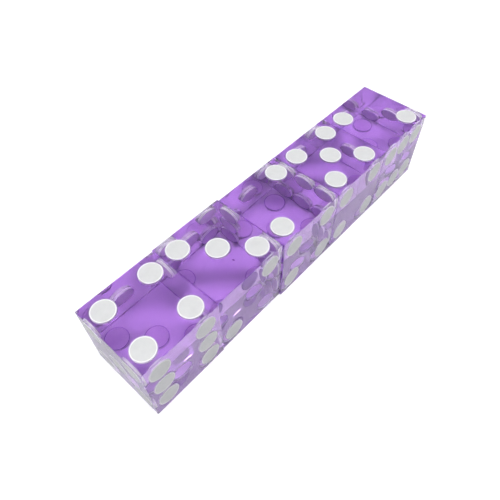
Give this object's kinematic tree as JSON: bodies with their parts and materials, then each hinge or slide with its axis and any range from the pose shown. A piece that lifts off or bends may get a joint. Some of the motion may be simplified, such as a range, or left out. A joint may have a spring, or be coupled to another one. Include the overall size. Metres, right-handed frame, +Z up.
{
  "type": "stick of casino dice",
  "caption": "Row of loose razor-edge casino dice in clear purple plastic, each with drilled pips filled flush in white.",
  "frame": {"origin": "centre of the middle die's resting face, on the surface the row stands on", "axes": "+X along the row of dice, +Y across it, +Z up"},
  "size_m": [0.0954, 0.0196, 0.0191],
  "materials": {
    "purple_plastic": "polished, see-through",
    "white_fill": "ground flush, satin"
  },
  "bodies": {
    "die_3": {"die_3_block": "purple_plastic", "die_3_pip_one": "white_fill", "die_3_pips_two": "white_fill", "die_3_pips_three": "white_fill", "die_3_pips_four": "white_fill", "die_3_pips_five": "white_fill", "die_3_pips_six": "white_fill"},
    "die_1": {"die_1_block": "purple_plastic", "die_1_pip_one": "white_fill", "die_1_pips_two": "white_fill", "die_1_pips_three": "white_fill", "die_1_pips_four": "white_fill", "die_1_pips_five": "white_fill", "die_1_pips_six": "white_fill"},
    "die_2": {"die_2_block": "purple_plastic", "die_2_pip_one": "white_fill", "die_2_pips_two": "white_fill", "die_2_pips_three": "white_fill", "die_2_pips_four": "white_fill", "die_2_pips_five": "white_fill", "die_2_pips_six": "white_fill"},
    "die_4": {"die_4_block": "purple_plastic", "die_4_pip_one": "white_fill", "die_4_pips_two": "white_fill", "die_4_pips_three": "white_fill", "die_4_pips_four": "white_fill", "die_4_pips_five": "white_fill", "die_4_pips_six": "white_fill"},
    "die_5": {"die_5_block": "purple_plastic", "die_5_pip_one": "white_fill", "die_5_pips_two": "white_fill", "die_5_pips_three": "white_fill", "die_5_pips_four": "white_fill", "die_5_pips_five": "white_fill", "die_5_pips_six": "white_fill"}
  },
  "joints": [
    {"name": "die_1_lift", "type": "slide", "parent": "die_3", "child": "die_1", "axis": [0, 0, 1], "range_m": [0, 0.03]},
    {"name": "die_2_lift", "type": "slide", "parent": "die_3", "child": "die_2", "axis": [0, 0, 1], "range_m": [0, 0.03]},
    {"name": "die_4_lift", "type": "slide", "parent": "die_3", "child": "die_4", "axis": [0, 0, 1], "range_m": [0, 0.03]},
    {"name": "die_5_lift", "type": "slide", "parent": "die_3", "child": "die_5", "axis": [0, 0, 1], "range_m": [0, 0.03]}
  ]
}
